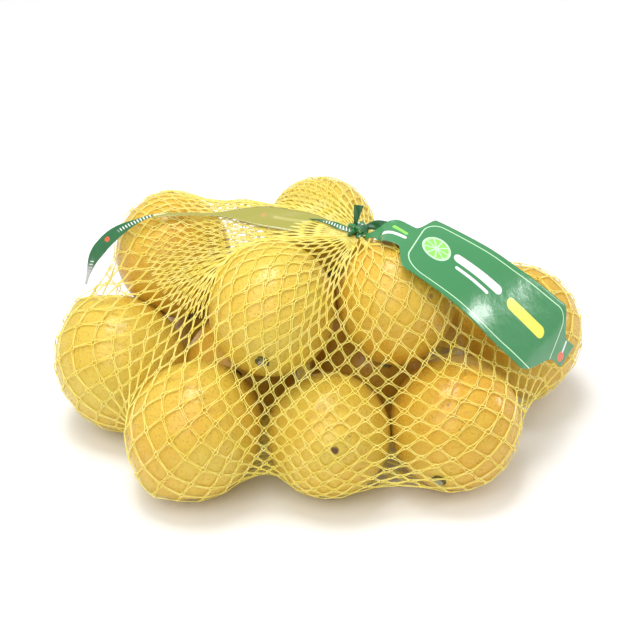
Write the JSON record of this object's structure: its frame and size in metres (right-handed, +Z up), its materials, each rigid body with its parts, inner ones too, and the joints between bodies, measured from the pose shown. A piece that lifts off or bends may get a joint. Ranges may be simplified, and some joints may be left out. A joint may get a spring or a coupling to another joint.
{
  "type": "net bag of lemons",
  "caption": "Knitted yellow net bag filled with lemons, tied at the top with a knotted strip of printed film that widens into a label.",
  "frame": {"origin": "middle of the bag's footprint, on the surface it lies on", "axes": "+X along the bag's longest side, +Y away from its front, +Z up through the knot's side"},
  "size_m": [0.2672, 0.195, 0.1213],
  "materials": {
    "net": "waxy yellow lemon rind under a thin knitted net of translucent yellow plastic yarn",
    "film": "glossy thin film printed mid green with a fine pale line round the panel"
  },
  "bodies": {
    "root": {"net": "net", "knot": "film", "stub": "film", "label": "film", "strip": "film", "tail": "film"}
  },
  "joints": []
}
